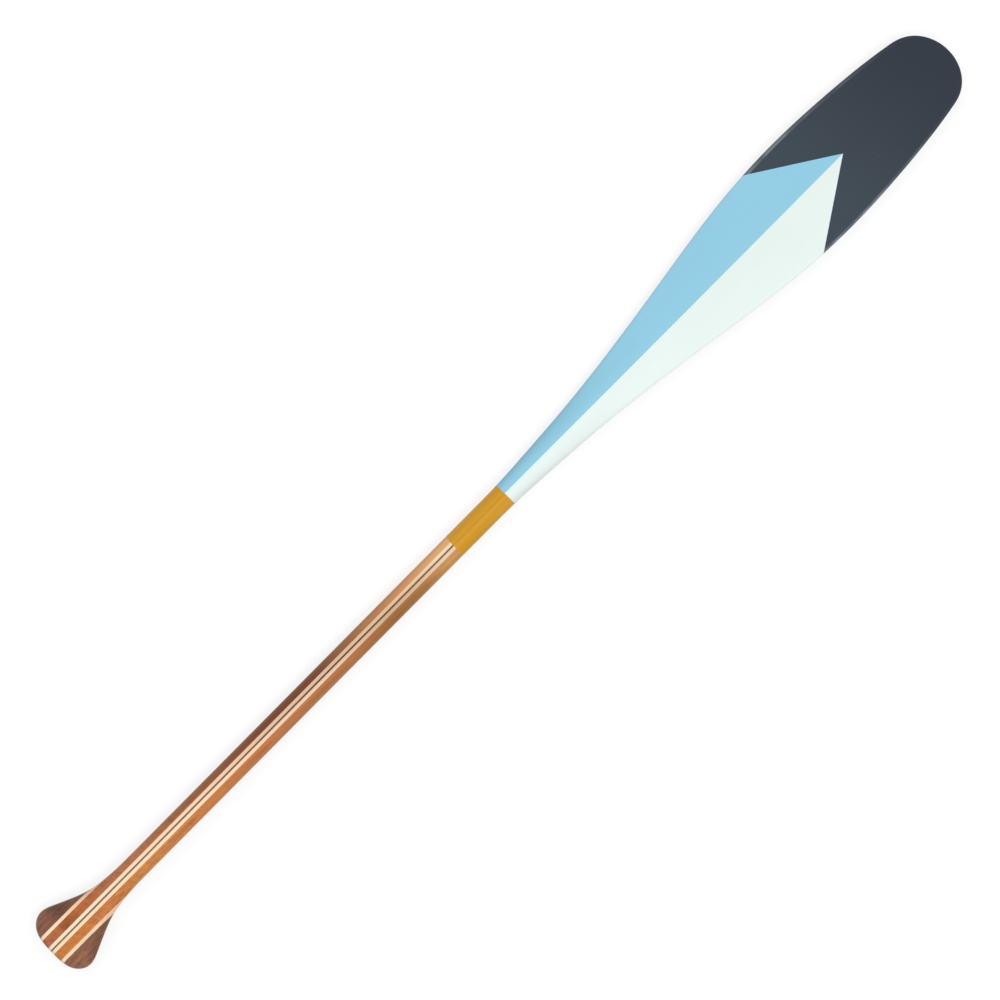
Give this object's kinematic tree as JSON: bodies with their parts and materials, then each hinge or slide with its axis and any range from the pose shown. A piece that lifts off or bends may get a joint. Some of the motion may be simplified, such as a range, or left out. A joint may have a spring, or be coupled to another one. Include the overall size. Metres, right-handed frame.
{
  "type": "canoe paddle",
  "caption": "Single-bladed laminated wooden canoe paddle with a palm grip, an oval shaft and a long tapered blade painted in blocks of colour.",
  "frame": {"origin": "half way along the paddle, on its centre line, at the height of the shaft's underside as it lies on a floor", "axes": "+X along the shaft towards the blade's tip, +Y across the blade to its left half, +Z out of the blade's face, up as it lies"},
  "size_m": [1.524, 0.1384, 0.029],
  "materials": {
    "walnut": "walnut under satin varnish",
    "maple": "maple under satin varnish",
    "cedar": "red-brown cedar under satin varnish",
    "painted_blue": "basswood under light blue satin paint, with a dark navy tip",
    "painted_mint": "basswood under pale mint satin paint, with a dark navy tip"
  },
  "bodies": {
    "root": {"walnut_centre_strip": "walnut", "maple_strip_left": "maple", "maple_strip_right": "maple", "cedar_strip_left": "cedar", "cedar_strip_right": "cedar", "grip_maple_left": "maple", "grip_maple_right": "maple", "grip_walnut_left": "walnut", "grip_walnut_right": "walnut", "blade_inner_left": "painted_blue", "blade_inner_right": "painted_mint", "blade_middle_left": "painted_blue", "blade_middle_right": "painted_mint", "blade_outer_left": "painted_blue", "blade_outer_right": "painted_mint"}
  },
  "joints": []
}
